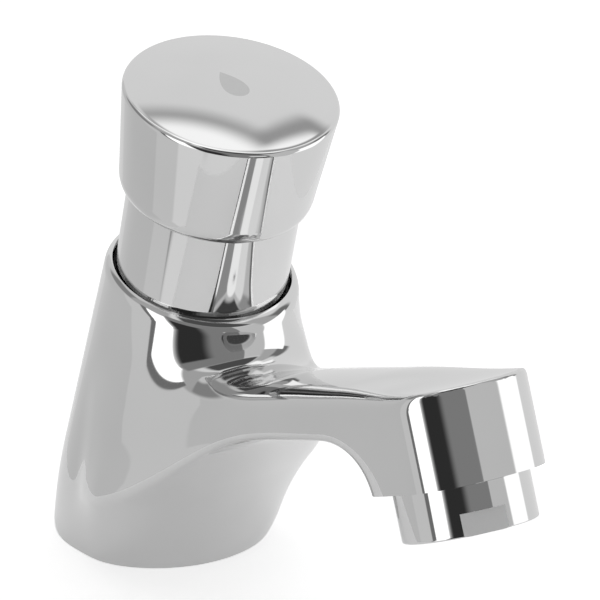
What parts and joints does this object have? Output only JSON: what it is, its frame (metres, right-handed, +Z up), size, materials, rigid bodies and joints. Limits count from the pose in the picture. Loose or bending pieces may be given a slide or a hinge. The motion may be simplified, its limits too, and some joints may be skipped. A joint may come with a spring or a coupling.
{
  "type": "push timed tap",
  "caption": "Chrome self-closing basin tap: a leaning push button on a cast body opens a timed valve, and a rising spout with a threaded outlet housing throws the jet forward.",
  "frame": {"origin": "centre of the foot, on the deck that the tap stands on", "axes": "+Z up, -Y towards the spout and the user, +X to the right of someone facing the tap from behind; the middle plane is X = 0"},
  "size_m": [0.0484, 0.1452, 0.1556],
  "materials": {
    "chrome": "polished chrome plating on cast brass",
    "brass": "turned, unplated",
    "black_rubber": "moulded, matt",
    "red_fibre": "punched vulcanised fibre, matt",
    "stainless": "turned and drawn stainless steel",
    "white_acetal": "moulded acetal, satin",
    "dark_plastic": "moulded, matt"
  },
  "bodies": {
    "tap_body": {"body_casting": "chrome", "base_gasket": "black_rubber", "inlet_tail": "brass", "tail_seal": "red_fibre", "inlet_strainer": "white_acetal", "fixing_washer": "stainless", "backnut": "brass", "valve_seat": "brass", "seat_o_ring": "black_rubber", "timing_sleeve": "white_acetal", "cartridge_head": "brass", "head_o_ring": "black_rubber", "gland_bush": "white_acetal", "spindle_o_rings": "black_rubber", "timing_screw": "stainless", "guide_band": "dark_plastic", "return_spring": "stainless", "outlet_housing": "chrome", "outlet_washer": "black_rubber", "outlet_screen": "stainless", "flow_straightener": "white_acetal"},
    "plunger": {"spindle": "stainless", "timing_piston": "white_acetal", "piston_seal": "black_rubber", "valve_spacer": "brass", "valve_washer": "black_rubber", "valve_plate": "stainless", "valve_nut": "stainless", "spring_cup": "stainless", "lock_nut": "stainless", "button_hub": "dark_plastic", "push_button": "chrome"}
  },
  "joints": [
    {"name": "button_press", "type": "slide", "parent": "tap_body", "child": "plunger", "axis": [0, 0.2756, -0.9613], "range_m": [0, 0.006], "stiffness_N_per_m": 1500, "springref_m": -0.008, "deforming": ["return_spring"]}
  ]
}
